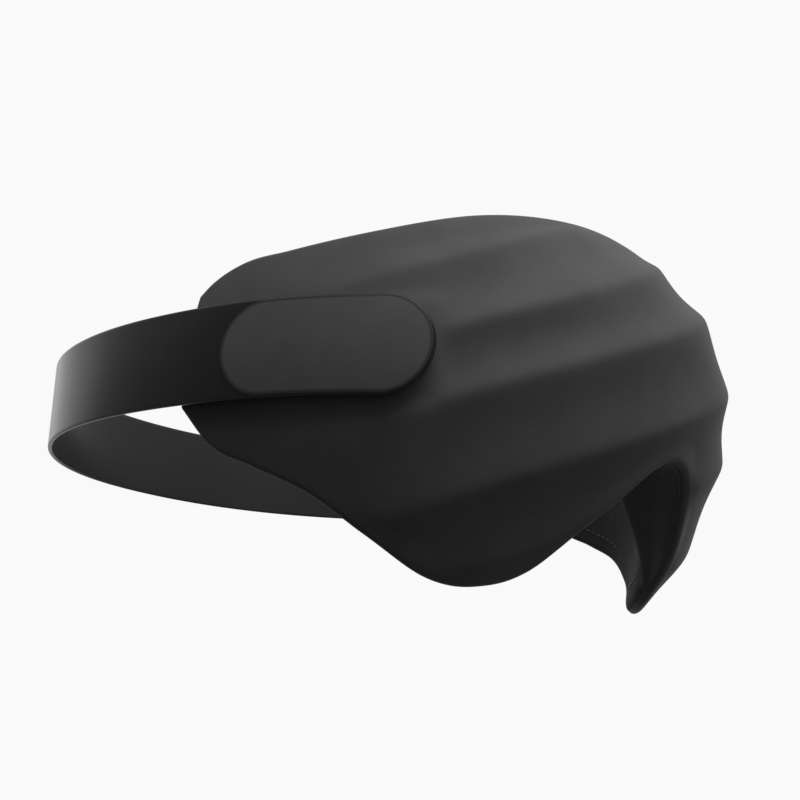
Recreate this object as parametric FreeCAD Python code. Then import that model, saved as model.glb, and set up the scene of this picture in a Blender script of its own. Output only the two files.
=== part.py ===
"""Contoured sleep eye mask with an elastic head strap.

Millimetres and degrees. +Z is up and the front of the mask faces -Y. The origin is the middle of the
head loop, at half the width of the strap. A station is an angle round the head: 0 at the nose, minus
90 at the wearer's right temple, plus 90 at the left one and 180 at the back of the head.
"""
import FreeCAD
import Part
import math
import os

os.makedirs("parts", exist_ok=True)
Vector = FreeCAD.Vector

# ---- Head loop and strap ----
LOOP_HALF_WIDTH = 86.0        # middle of the loop to the mask's side, at strap height
LOOP_HALF_LENGTH = 98.9       # middle of the loop to the back of the head
LOOP_SQUARENESS = 2.14        # 2 is an ellipse, more is squarer
STRAP_WIDTH = 25.0
STRAP_THICKNESS = 1.3
STRAP_UPRIGHTING = 45.0       # angle behind the mask over which the strap turns upright

# ---- Outline of the mask: (station, height) along its edge, the same on both sides ----
TOP_EDGE = ((0, 45.8), (18, 44.5), (38, 40.8), (58, 33.9), (72, 29.5), (80, 27.3), (85, 22.5), (87, 18.5))
BOTTOM_EDGE = ((0, -19.6), (4, -22.1), (10, -32.0), (15, -40.0), (21, -49.8), (31, -54.6),
               (43, -53.2), (56, -44.0), (66, -32.6), (75, -28.0), (82, -22.9), (87, -13.4))

# ---- Form of the mask's outer side ----
FRONT_REACH = 107.0           # middle of the loop to the foremost part of the front
FRONT_LEVEL = 7.4             # height of that foremost part
FRONT_ROUNDING = 1.5          # how fast the front's extra reach dies away toward the temples
TOP_LEAN = 41.5               # how far the front leans back, one span above its foremost part
TOP_LEAN_SPAN = 50.0
CHEEK_TUCK = 31.6             # how far the front tucks in, one span below its foremost part
CHEEK_TUCK_SPAN = 62.0
CHEEK_TUCK_POWER = 2.2
SIDE_SLOPE = 0.093            # the sides lean in upward by this share of the height
SIDE_CROWN = 12.7             # the sides curve in by this much, one span above the strap
SIDE_TUCK = 20.0              # and by this much, one span below it
SIDE_CROWN_SPAN = 50.0

# ---- Diagonal waves moulded into the front ----
WAVE_CRESTS = (-110.0, -91.4, -55.6, -28.7, -7.7, 16.3, 34.2, 53.6, 70.0, 86.0)   # heights over the nose
WAVE_CLIMB = 0.435            # rise of a crest for each millimetre toward the wearer's left
WAVE_LEVELLING = 134.7        # distance from the nose over which the climb levels off
WAVE_HEIGHT = 1.9             # crest above hollow
WAVE_CREST_SHARE = 0.4        # share of that height which stands above the smooth form
WAVE_SOFTNESS = 0.22          # rounding of a crest, as a share of the wave
WAVE_FULL = 48.0              # the waves keep their full height this far from the nose
WAVE_END = 104.0              # and have died away here
WAVE_EDGE = 9.0               # they also die away over this distance from the mask's edge
WAVE_ROOT = 10.0              # depth under the outer side at which they have died away
WAVE_FLAT = 6.0               # distance from the strap over which they rise from the flat under it

# ---- Layers ----
COVER_THICKNESS = 1.2
LINING_THICKNESS = 0.8
EDGE_THICKNESS = 3.6          # whole mask, at its edge
FRONT_THICKNESS = 22.0        # whole mask, in front
WING_THICKNESS = 6.5          # whole mask, by the ear
NOSE_WALL = 24.0              # depth of the wall over the bridge of the nose
NOSE_WALL_FULL = 8.0          # the nose wall keeps this depth up to here
NOSE_WALL_END = 25.0          # and has thinned to the edge here
LAYER_GAP = 0.1               # glue line between the layers

# ---- Eye cavities ----
EYE_SPACING = 64.0
EYE_LEVEL = 3.0
EYE_CAVITY_WIDTH = 54.0
EYE_CAVITY_HEIGHT = 40.0
EYE_CAVITY_DEPTH = 12.5
EYE_CAVITY_STEEPNESS = 1.15    # above 1 the cavity has a flat floor and steeper sides

# ---- Nose baffle ----
BAFFLE_THICKNESS = 2.2
BAFFLE_EDGE_THICKNESS = 0.7
BAFFLE_STATION = 23.0
BAFFLE_START = 0.14           # share of the wall's depth left bare at the front
BAFFLE_REACH = 1.12           # the baffle's end, as a share of the wall's depth

# ---- Hook-and-loop fastening at each temple ----
WING_STATION = 87.0           # rear end of the mask
WING_TAIL = 4.8               # angle from the peel line, where the strap end folds open, to that end
PEEL_GAP = 0.3                # slit between the strap and its end
TAB_STATION = 47.3            # front of the strap's rounded end
PAD_THICKNESS = 0.8
PAD_MARGIN = 1.6              # from the strap's edge to the pads under it
PAD_REAR_MARGIN = 1.0         # from the peel line, and from the mask's rear end, to the pads
LOOP_PAD_EXTRA = 2.0          # the loop pad reaches this much further forward than the hook pad
CONTACT_GAP = 0.3             # hooks to loops
LABEL_THICKNESS = 0.5
LABEL_MARGIN = 0.6            # strap showing round the label
LABEL_REAR_MARGIN = 6.5       # from the peel line to the label

# ---- Fineness of the fitted surfaces ----
PROBE = 0.4                   # step, in degrees or millimetres, for measuring a slope
MASK_COLUMNS = 73
MASK_ROWS = 31
BAND_COLUMNS = 41
END_COLUMNS = 13
STRAP_ROWS = 4
BAFFLE_COLUMNS = 27
BAFFLE_ROWS = 5

PEEL_STATION = WING_STATION - WING_TAIL
COVER_INNER = COVER_THICKNESS
FOAM_OUTER = COVER_THICKNESS + LAYER_GAP
LOOP_PAD_BASE = LAYER_GAP
LOOP_PAD_TOP = LOOP_PAD_BASE + PAD_THICKNESS
HOOK_PAD_BASE = LOOP_PAD_TOP + CONTACT_GAP
HOOK_PAD_TOP = HOOK_PAD_BASE + PAD_THICKNESS
STRAP_INNER = HOOK_PAD_TOP + LAYER_GAP
STRAP_OUTER = STRAP_INNER + STRAP_THICKNESS
LABEL_BASE = STRAP_OUTER + LAYER_GAP / 2
LABEL_TOP = LABEL_BASE + LABEL_THICKNESS
PAD_HALF_WIDTH = STRAP_WIDTH / 2 - PAD_MARGIN


# ---- Curves and blends ----
def ease(share):
    """Go smoothly from 0 to 1."""
    share = min(max(share, 0.0), 1.0)
    return share * share * (3 - 2 * share)


def along(points, place):
    """Read a smooth curve through the listed points at a place, the same on both sides of zero."""
    place = abs(place)
    last = len(points) - 1
    slopes = [(points[i + 1][1] - points[i][1]) / (points[i + 1][0] - points[i][0]) for i in range(last)]
    tangents = [0.0] + [(slopes[i - 1] + slopes[i]) / 2 for i in range(1, last)] + [slopes[-1]]
    i = 0
    while i < last - 1 and place > points[i + 1][0]:
        i += 1
    (x0, y0), (x1, y1) = points[i], points[i + 1]
    width = x1 - x0
    t = (place - x0) / width
    return ((2 * t ** 3 - 3 * t ** 2 + 1) * y0 + (t ** 3 - 2 * t ** 2 + t) * width * tangents[i]
            + (3 * t ** 2 - 2 * t ** 3) * y1 + (t ** 3 - t ** 2) * width * tangents[i + 1])


# ---- Form of the outer side ----
def side_reach(height):
    share = height / SIDE_CROWN_SPAN
    curve = SIDE_CROWN if height > 0 else SIDE_TUCK
    return LOOP_HALF_WIDTH - SIDE_SLOPE * height - curve * share * share


def front_reach(height):
    above = height - FRONT_LEVEL
    if above > 0:
        return FRONT_REACH - TOP_LEAN * (above / TOP_LEAN_SPAN) ** 2
    return FRONT_REACH - CHEEK_TUCK * (-above / CHEEK_TUCK_SPAN) ** CHEEK_TUCK_POWER


def form_point(station, height):
    """Point of the smooth outer form, waves left out."""
    sine = math.sin(math.radians(station))
    cosine = math.cos(math.radians(station))
    reach = side_reach(height)
    length = LOOP_HALF_LENGTH * reach / LOOP_HALF_WIDTH
    if cosine > 0:
        length += (front_reach(height) - length) * cosine ** FRONT_ROUNDING
    power = 2 / LOOP_SQUARENESS
    x = math.copysign(reach * abs(sine) ** power, sine)
    y = -math.copysign(length * abs(cosine) ** power, cosine)
    return Vector(x, y, height)


def outward(place, station, height):
    """Outward normal of a surface that is given as a function of station and height."""
    round_head = place(station + PROBE, height) - place(station - PROBE, height)
    upward = place(station, height + PROBE) - place(station, height - PROBE)
    return round_head.cross(upward).normalize()


def girth_table():
    """Distance from the nose round the form at strap height, for each whole degree."""
    table = [0.0]
    for degree in range(1, 181):
        step = form_point(degree, 0) - form_point(degree - 1, 0)
        table.append(table[-1] + step.Length)
    return table


GIRTH = girth_table()


def girth(station):
    """Distance from the nose round to a station, minus on the wearer's right."""
    whole = min(int(abs(station)), len(GIRTH) - 2)
    part = abs(station) - whole
    return math.copysign(GIRTH[whole] + (GIRTH[whole + 1] - GIRTH[whole]) * part, station)


def station_at(distance):
    """Station that lies this far round from the nose."""
    whole = 0
    while whole < len(GIRTH) - 2 and GIRTH[whole + 1] < abs(distance):
        whole += 1
    part = (abs(distance) - GIRTH[whole]) / (GIRTH[whole + 1] - GIRTH[whole])
    return math.copysign(whole + part, distance)


def wave(station, height):
    """Height of the moulded waves above the smooth form."""
    distance = girth(station)
    level = height - WAVE_CLIMB * WAVE_LEVELLING * math.tanh(distance / WAVE_LEVELLING)
    share = 0.0
    for lower, upper in zip(WAVE_CRESTS, WAVE_CRESTS[1:]):
        if lower <= level < upper:
            share = (level - lower) / (upper - lower)
    dip = math.sqrt(math.sin(math.pi * share) ** 2 + WAVE_SOFTNESS ** 2) - WAVE_SOFTNESS
    fade = 1 - ease((abs(distance) - WAVE_FULL) / (WAVE_END - WAVE_FULL))
    ahead = ease((girth(TAB_STATION) + PAD_MARGIN - abs(distance)) / WAVE_FLAT)
    beside = ease((abs(height) - STRAP_WIDTH / 2 + PAD_MARGIN) / WAVE_FLAT)
    fade *= 1 - (1 - ahead) * (1 - beside)
    return WAVE_HEIGHT * (WAVE_CREST_SHARE - dip) * fade


# ---- Thickness of the mask ----
def eye_cavity(station, height):
    """How far the eye cavities sink into the face side."""
    across = (abs(form_point(station, height).x) - EYE_SPACING / 2) / (EYE_CAVITY_WIDTH / 2)
    up = (height - EYE_LEVEL) / (EYE_CAVITY_HEIGHT / 2)
    inside = 1 - across * across - up * up
    if inside <= 0:
        return 0.0
    return EYE_CAVITY_DEPTH * ease(inside * EYE_CAVITY_STEEPNESS)


def thickness(station, share):
    """Whole thickness of the mask, with share 0 at its bottom edge and 1 at its top edge."""
    side = ease((WING_STATION - abs(station)) / 12)
    middle = WING_THICKNESS + (FRONT_THICKNESS - WING_THICKNESS) * math.cos(math.radians(station)) ** 2
    middle = EDGE_THICKNESS + (middle - EDGE_THICKNESS) * side
    nose = ease((NOSE_WALL_END - abs(station)) / (NOSE_WALL_END - NOSE_WALL_FULL))
    bottom = EDGE_THICKNESS + (NOSE_WALL - EDGE_THICKNESS) * nose
    if share < 0.5:
        return bottom + (middle - bottom) * (1 - (1 - 2 * share) ** 3)
    return EDGE_THICKNESS + (middle - EDGE_THICKNESS) * (1 - (2 * share - 1) ** 3)


def mask_point(station, share, depth):
    """Point of the mask at a depth under its outer side."""
    low = along(BOTTOM_EDGE, station)
    high = along(TOP_EDGE, station)
    height = low + (high - low) * share
    raised = wave(station, height) * ease(min(height - low, high - height) / WAVE_EDGE)
    raised *= max(0, 1 - depth / WAVE_ROOT)
    normal = outward(form_point, station, height)
    return form_point(station, height) + normal * (raised - depth)


def face_depth(station, share):
    """Depth of the face side under the outer side."""
    low = along(BOTTOM_EDGE, station)
    height = low + (along(TOP_EDGE, station) - low) * share
    return thickness(station, share) - eye_cavity(station, height)


# ---- Solids between two grids of points ----
def fitted(grid):
    surface = Part.BSplineSurface()
    surface.interpolate(grid)
    return surface


def slab(outer_grid, inner_grid):
    """Closed solid between two grids of points, with ruled faces round its edge."""
    surfaces = [fitted(outer_grid), fitted(inner_grid)]
    faces = [surface.toShape() for surface in surfaces]
    borders = []
    for surface in surfaces:
        u0, u1, v0, v1 = surface.bounds()
        curves = [surface.uIso(u0), surface.uIso(u1), surface.vIso(v0), surface.vIso(v1)]
        borders.append([curve.toShape() for curve in curves])
    for outer_edge, inner_edge in zip(*borders):
        faces.append(Part.makeRuledSurface(outer_edge, inner_edge))
    shell = Part.Shell(faces)
    shell.sewShape()
    solid = Part.Solid(shell)
    if solid.Volume < 0:
        solid.reverse()
    return solid


def spread(first, last, count):
    return [first + (last - first) * i / (count - 1) for i in range(count)]


def mask_layer(outer_depth, inner_depth):
    """One layer of the mask between two depths, each given as a function of station and share."""
    stations = spread(-WING_STATION, WING_STATION, MASK_COLUMNS)
    shares = spread(0, 1, MASK_ROWS)
    grids = []
    for depth in (outer_depth, inner_depth):
        grids.append([[mask_point(s, v, depth(s, v)) for v in shares] for s in stations])
    return slab(*grids)


# ---- Pieces of the mask ----
def outer_cover():
    return mask_layer(lambda s, v: 0.0, lambda s, v: COVER_INNER)


def foam_core():
    under_lining = LINING_THICKNESS + LAYER_GAP
    return mask_layer(lambda s, v: FOAM_OUTER, lambda s, v: face_depth(s, v) - under_lining)


def face_lining():
    return mask_layer(lambda s, v: face_depth(s, v) - LINING_THICKNESS, face_depth)


def nose_baffle():
    """Soft pad that lines the wall over the bridge of the nose."""
    def wall(station, depth_share):
        front = mask_point(station, 0, 0)
        back = mask_point(station, 0, face_depth(station, 0))
        return front + (back - front) * depth_share

    def lined(station, depth_share, drop):
        run = wall(station + PROBE, depth_share) - wall(station - PROBE, depth_share)
        inward = wall(station, 1) - wall(station, 0)
        away = run.cross(inward).normalize()
        return wall(station, depth_share) - away * drop

    stations = spread(-BAFFLE_STATION, BAFFLE_STATION, BAFFLE_COLUMNS)
    shares = spread(BAFFLE_START, BAFFLE_REACH, BAFFLE_ROWS)

    def drop(station):
        full = ease(1.6 * (1 - abs(station) / BAFFLE_STATION))
        return BAFFLE_EDGE_THICKNESS + (BAFFLE_THICKNESS - BAFFLE_EDGE_THICKNESS) * full

    near = [[lined(s, v, LAYER_GAP) for v in shares] for s in stations]
    far = [[lined(s, v, LAYER_GAP + drop(s)) for v in shares] for s in stations]
    return slab(near, far)


# ---- Strap and its ends ----
def strap_form(station, height):
    """The surface that the strap follows: the mask's side by the wings, upright behind the head."""
    round_from_nose = abs(math.remainder(station, 360))
    beyond = ease((round_from_nose - PEEL_STATION) / STRAP_UPRIGHTING)
    point = form_point(station, height)
    upright = form_point(station, 0)
    return Vector(point.x + (upright.x - point.x) * beyond, point.y + (upright.y - point.y) * beyond, height)


def strap_point(station, height, offset):
    return strap_form(station, height) + outward(strap_form, station, height) * offset


def strip(stations, half_width, base, top):
    """Flat strip that follows the strap's path between two offsets from the mask's side."""
    heights = spread(-half_width, half_width, STRAP_ROWS)
    grids = []
    for offset in (top, base):
        grids.append([[strap_point(s, h, offset) for h in heights] for s in stations])
    return slab(*grids)


def rounded_tip(solid, tip_station, half_width, toward):
    """Round off the end of a strip to a half circle. Toward is +1 where the end points forward."""
    side = math.copysign(1, tip_station)
    centre_station = station_at(girth(tip_station) + side * toward * half_width)
    centre = strap_point(centre_station, 0, 0)
    normal = outward(strap_form, centre_station, 0)
    ahead = (strap_point(centre_station - side * toward, 0, 0) - centre).normalize()
    reach = 4 * half_width
    block = Part.makeBox(reach, reach, reach, Vector(0, -reach / 2, -reach / 2))
    round_bar = Part.makeCylinder(half_width, reach, Vector(0, 0, -reach / 2))
    corners = block.cut(round_bar)
    up = normal.cross(ahead)
    turned = FreeCAD.Matrix(ahead.x, up.x, normal.x, centre.x, ahead.y, up.y, normal.y, centre.y,
                            ahead.z, up.z, normal.z, centre.z, 0, 0, 0, 1)
    corners.Placement = FreeCAD.Placement(turned)
    return solid.cut(corners)


def from_peel(distance):
    """Station this far behind the peel line, or in front of it where minus."""
    return station_at(girth(PEEL_STATION) + distance)


def strap_band():
    first = from_peel(PEEL_GAP / 2)
    return strip(spread(first, 360 - first, BAND_COLUMNS), STRAP_WIDTH / 2, STRAP_INNER, STRAP_OUTER)


def side_strip(side, front, rear, half_width, base, top):
    """Strip on the wearer's right (side -1) or left (side +1), between two stations."""
    stations = spread(side * front, side * rear, END_COLUMNS)
    return strip(sorted(stations), half_width, base, top)


def strap_end(side):
    solid = side_strip(side, TAB_STATION, from_peel(-PEEL_GAP / 2), STRAP_WIDTH / 2, STRAP_INNER, STRAP_OUTER)
    return rounded_tip(solid, side * TAB_STATION, STRAP_WIDTH / 2, 1)


def loop_pad(side):
    """Patch of loops on the mask, under the strap's end."""
    front = station_at(girth(TAB_STATION) + PAD_MARGIN)
    rear = station_at(girth(WING_STATION) - PAD_REAR_MARGIN)
    solid = side_strip(side, front, rear, PAD_HALF_WIDTH, LOOP_PAD_BASE, LOOP_PAD_TOP)
    return rounded_tip(solid, side * front, PAD_HALF_WIDTH, 1)


def hook_pad(side):
    """Patch of hooks under the part of the strap that peels open."""
    front = station_at(girth(TAB_STATION) + PAD_MARGIN + LOOP_PAD_EXTRA)
    solid = side_strip(side, front, from_peel(-PAD_REAR_MARGIN), PAD_HALF_WIDTH, HOOK_PAD_BASE, HOOK_PAD_TOP)
    return rounded_tip(solid, side * front, PAD_HALF_WIDTH, 1)


def hook_strip(side):
    """Last stretch of the hooks, behind the peel line, which holds the strap to the mask."""
    rear = station_at(girth(WING_STATION) - PAD_REAR_MARGIN)
    return side_strip(side, from_peel(PAD_REAR_MARGIN), rear, PAD_HALF_WIDTH, HOOK_PAD_BASE, HOOK_PAD_TOP)


def label_patch(side):
    """Bare pill-shaped patch on the strap's end."""
    front = station_at(girth(TAB_STATION) + LABEL_MARGIN)
    rear = from_peel(-LABEL_REAR_MARGIN)
    half_width = STRAP_WIDTH / 2 - LABEL_MARGIN
    solid = side_strip(side, front, rear, half_width, LABEL_BASE, LABEL_TOP)
    solid = rounded_tip(solid, side * front, half_width, 1)
    return rounded_tip(solid, side * rear, half_width, -1)


# ---- Build ----
NODES = {
    "outer_cover": outer_cover(),
    "foam_core": foam_core(),
    "face_lining": face_lining(),
    "nose_baffle": nose_baffle(),
    "strap_band": strap_band(),
}
for name, side in (("right", -1), ("left", 1)):
    NODES["loop_pad_" + name] = loop_pad(side)
    NODES["hook_pad_" + name] = hook_pad(side)
    NODES["hook_strip_" + name] = hook_strip(side)
    NODES["strap_end_" + name] = strap_end(side)
    NODES["label_patch_" + name] = label_patch(side)

for node, shape in NODES.items():
    shape.exportStep("parts/" + node + ".step")
    box = shape.BoundBox
    print("%-20s %s solids %d volume %.0f box x %.1f..%.1f y %.1f..%.1f z %.1f..%.1f" % (
        node, "valid" if shape.isValid() else "NOT VALID", len(shape.Solids), shape.Volume,
        box.XMin, box.XMax, box.YMin, box.YMax, box.ZMin, box.ZMax))
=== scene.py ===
# %% [markdown]
# # Sleep eye mask: from a imported frame to a finished picture
# The object is a soft foam mask for sleeping, with waves moulded into its front, and an elastic strap
# whose ends stick to the temples with hook and loop. The imported frame holds its plain solids and its
# joints. This lesson dresses those solids as cloth, foam and elastic. First the frame is loaded.

# %% Load the frame
import math

import bmesh
import bpy
import numpy as np
from mathutils import Matrix, Vector


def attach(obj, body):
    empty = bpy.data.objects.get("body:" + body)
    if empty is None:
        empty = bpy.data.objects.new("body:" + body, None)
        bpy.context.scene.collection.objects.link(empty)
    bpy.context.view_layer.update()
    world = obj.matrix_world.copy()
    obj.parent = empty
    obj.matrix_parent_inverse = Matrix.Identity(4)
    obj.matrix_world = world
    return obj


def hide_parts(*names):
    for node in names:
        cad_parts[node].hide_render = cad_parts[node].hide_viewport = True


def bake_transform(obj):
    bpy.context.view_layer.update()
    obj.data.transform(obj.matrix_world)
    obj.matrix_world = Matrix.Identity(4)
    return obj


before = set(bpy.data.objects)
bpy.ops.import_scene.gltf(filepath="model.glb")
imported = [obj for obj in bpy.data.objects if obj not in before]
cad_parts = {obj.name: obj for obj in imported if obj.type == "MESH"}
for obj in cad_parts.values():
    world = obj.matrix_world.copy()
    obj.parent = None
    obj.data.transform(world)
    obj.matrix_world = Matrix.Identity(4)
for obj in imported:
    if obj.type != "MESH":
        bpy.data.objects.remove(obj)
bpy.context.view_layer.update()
MM = 0.001

# %% [markdown]
# ## The form that everything follows
# A mask is cut flat and moulded round a head, so every layer follows one smooth form. It is easiest to
# write that form once, as a function of a station (the angle round the head, 0 at the nose and minus at
# the wearer's right temple) and a height. Each layer is then the same function at another depth. All
# sizes here are in millimetres, and the functions take whole arrays of stations and heights at once.

# %% Sizes of the form
LOOP_HALF_WIDTH = 86.0
LOOP_HALF_LENGTH = 98.9
LOOP_SQUARENESS = 2.14
FRONT_REACH = 107.0
FRONT_LEVEL = 7.4
FRONT_ROUNDING = 1.5
TOP_LEAN = 41.5
TOP_LEAN_SPAN = 50.0
CHEEK_TUCK = 31.6
CHEEK_TUCK_SPAN = 62.0
CHEEK_TUCK_POWER = 2.2
SIDE_SLOPE = 0.093
SIDE_CROWN = 12.7
SIDE_TUCK = 20.0
SIDE_CROWN_SPAN = 50.0
PROBE = 0.4
print("loop: %.0f mm wide, %.0f mm from its middle to the back" % (2 * LOOP_HALF_WIDTH, LOOP_HALF_LENGTH))


# %% The smooth form
def ease(share):
    """Go smoothly from 0 to 1."""
    share = np.clip(share, 0.0, 1.0)
    return share * share * (3 - 2 * share)


def form_point(station, height):
    """Point of the smooth outer form, waves left out."""
    station, height = np.broadcast_arrays(np.asarray(station, float), np.asarray(height, float))
    sine = np.sin(np.radians(station))
    cosine = np.cos(np.radians(station))
    crown = height / SIDE_CROWN_SPAN
    reach = LOOP_HALF_WIDTH - SIDE_SLOPE * height - np.where(height > 0, SIDE_CROWN, SIDE_TUCK) * crown ** 2
    above = np.maximum(height - FRONT_LEVEL, 0) / TOP_LEAN_SPAN
    below = np.maximum(FRONT_LEVEL - height, 0) / CHEEK_TUCK_SPAN
    front = FRONT_REACH - TOP_LEAN * above ** 2 - CHEEK_TUCK * below ** CHEEK_TUCK_POWER
    length = LOOP_HALF_LENGTH * reach / LOOP_HALF_WIDTH
    length = length + (front - length) * np.maximum(cosine, 0) ** FRONT_ROUNDING
    power = 2 / LOOP_SQUARENESS
    x = np.sign(sine) * reach * np.abs(sine) ** power
    y = -np.sign(cosine) * length * np.abs(cosine) ** power
    return np.stack([x, y, height], axis=-1)


def unit(vectors):
    """The same directions at length 1."""
    return vectors / np.linalg.norm(vectors, axis=-1, keepdims=True)


def outward(place, station, height):
    """Outward unit normal of a surface given as a function of station and height."""
    round_head = place(station + PROBE, height) - place(station - PROBE, height)
    upward = place(station, height + PROBE) - place(station, height - PROBE)
    return unit(np.cross(round_head, upward))


DEGREES = np.arange(0, 181)
STEPS = np.linalg.norm(np.diff(form_point(DEGREES, 0.0), axis=0), axis=-1)
GIRTH = np.concatenate([[0.0], np.cumsum(STEPS)])


def girth(station):
    """Distance from the nose round to a station, minus on the wearer's right."""
    return np.sign(station) * np.interp(np.abs(station), DEGREES, GIRTH)


def station_at(distance):
    """Station that lies this far round from the nose."""
    return np.sign(distance) * np.interp(np.abs(distance), GIRTH, DEGREES)


print("girth of the head loop: %.0f mm" % (2 * GIRTH[-1]))

# %% [markdown]
# ## The outline
# The mask's edge is a long low arch over the brow, two rounded cheek lobes and a pointed arch over the
# nose. Only its height at a few stations is listed. A smooth curve (a Hermite spline, whose slopes are
# the averages of the straight slopes on either side) runs through them and is mirrored at the nose.
# Foam never lies quite evenly, so the lobe on the wearer's left is drawn up by a few millimetres.

# %% Outline of the mask
TOP_EDGE = ((0, 45.8), (18, 44.5), (38, 40.8), (58, 33.9), (72, 29.5), (80, 27.3), (85, 22.5), (87, 18.5))
BOTTOM_EDGE = ((0, -19.6), (4, -22.1), (10, -32.0), (15, -40.0), (21, -49.8), (31, -54.6),
               (43, -53.2), (56, -44.1), (66, -34.8), (75, -28.5), (82, -22.9), (87, -12.6))
WING_STATION = 87.0
GIRTH_AT_WING = float(girth(WING_STATION))
LEFT_LIFT = 3.0
LEFT_LIFT_START = 8.0
LEFT_LIFT_SPAN = 16.0


def along(points, place):
    """Read a smooth curve through the listed points, the same on both sides of zero."""
    places, values = np.array(points, float).T
    slopes = np.diff(values) / np.diff(places)
    tangents = np.concatenate([[0.0], (slopes[:-1] + slopes[1:]) / 2, slopes[-1:]])
    place = np.abs(place)
    i = np.clip(np.searchsorted(places, place, side="right") - 1, 0, len(places) - 2)
    width = places[i + 1] - places[i]
    t = (place - places[i]) / width
    return ((2 * t ** 3 - 3 * t ** 2 + 1) * values[i] + (t ** 3 - 2 * t ** 2 + t) * width * tangents[i]
            + (3 * t ** 2 - 2 * t ** 3) * values[i + 1] + (t ** 3 - t ** 2) * width * tangents[i + 1])


def top_edge(station):
    """Upper edge, over the brow."""
    return along(TOP_EDGE, station)


def bottom_edge(station):
    """Lower edge, which the soft foam draws up a little on the wearer's left."""
    return along(BOTTOM_EDGE, station) + LEFT_LIFT * ease((station - LEFT_LIFT_START) / LEFT_LIFT_SPAN)


def steepness(edge, station):
    """Rise of an outline for each millimetre round the head."""
    rise = edge(station + PROBE) - edge(station - PROBE)
    return rise / (girth(station + PROBE) - girth(station - PROBE))


def edge_distance(station, height):
    """Distance from a place on the mask to the nearest part of its edge."""
    low = (height - bottom_edge(station)) / np.hypot(1, steepness(bottom_edge, station))
    high = (top_edge(station) - height) / np.hypot(1, steepness(top_edge, station))
    rear = GIRTH_AT_WING - np.abs(girth(station))
    return np.maximum(np.minimum(np.minimum(low, high), rear), 0)


print("mask: %.0f mm round from wing to wing, %.0f mm high over the nose"
      % (2 * GIRTH_AT_WING, top_edge(0.0) - bottom_edge(0.0)))

# %% [markdown]
# ## The moulded waves
# Long waves run slantwise over the front and fade out toward the temples. They are real relief, so they
# are made as geometry and not as a bump. Each wave is the absolute value of a sine, which gives a narrow
# crest and a wide hollow, and its crest is rounded a little because foam can't hold a sharp edge. The
# front stays flat at its border and under the ends of the strap, which need an even seat.

# %% Wave relief
WAVE_CRESTS = np.array([-110.0, -91.4, -55.6, -28.7, -7.7, 16.3, 34.2, 53.6, 70.0, 86.0])
WAVE_CLIMB = 0.435
WAVE_LEVELLING = 134.7
WAVE_HEIGHT = 1.85
WAVE_CREST_SHARE = 0.4
WAVE_SOFTNESS = 0.16
WAVE_FULL = 56.0
WAVE_END = 122.0
WAVE_EDGE = 9.0
WAVE_FLAT = 6.0
STRAP_WIDTH = 25.0
PAD_MARGIN = 1.6
TAB_STATION = 47.3


def wave(station, height):
    """Height of the moulded waves above the smooth form."""
    distance = girth(station)
    level = height - WAVE_CLIMB * WAVE_LEVELLING * np.tanh(distance / WAVE_LEVELLING)
    share = np.interp(level, WAVE_CRESTS, np.arange(len(WAVE_CRESTS))) % 1
    dip = np.hypot(np.sin(np.pi * share), WAVE_SOFTNESS) - WAVE_SOFTNESS
    fade = 1 - ease((np.abs(distance) - WAVE_FULL) / (WAVE_END - WAVE_FULL))
    ahead = ease((girth(TAB_STATION) + PAD_MARGIN - np.abs(distance)) / WAVE_FLAT)
    beside = ease((np.abs(height) - STRAP_WIDTH / 2 + PAD_MARGIN) / WAVE_FLAT)
    fade = fade * (1 - (1 - ahead) * (1 - beside))
    low = height - bottom_edge(station)
    high = top_edge(station) - height
    fade = fade * ease(np.minimum(low, high) / WAVE_EDGE)
    return WAVE_HEIGHT * (WAVE_CREST_SHARE - dip) * fade


over_nose = wave(0.0, np.linspace(bottom_edge(0.0) + WAVE_EDGE, top_edge(0.0) - WAVE_EDGE, 200))
print("waves: %d crests, %.1f mm from hollow to crest over the nose" % (len(WAVE_CRESTS), np.ptp(over_nose)))

# %% [markdown]
# ## Thickness, eye cavities and depth
# The foam is thick in front and thin at its edge. Each eye has a cavity in the face side, so that
# nothing presses on the lids, and the wall over the bridge of the nose is as deep as the foam. A depth
# under the outer side then reaches any layer. The waves die away with depth, so the face side stays
# smooth, and low on the wearer's left the whole lobe splays outward by a millimetre or two.

# %% Depth of the face side
EDGE_THICKNESS = 3.6
FRONT_THICKNESS = 22.0
WING_THICKNESS = 6.5
WING_THINNING = 12.0
NOSE_WALL = 24.0
NOSE_WALL_FULL = 8.0
NOSE_WALL_END = 22.0
EYE_SPACING = 64.0
EYE_LEVEL = 3.0
EYE_CAVITY_WIDTH = 54.0
EYE_CAVITY_HEIGHT = 40.0
EYE_CAVITY_DEPTH = 12.5
EYE_CAVITY_STEEPNESS = 1.15
WAVE_ROOT = 10.0
LEFT_SPLAY = 1.8
LEFT_SPLAY_LEVEL = -14.0
LEFT_SPLAY_SPAN = 36.0


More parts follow.
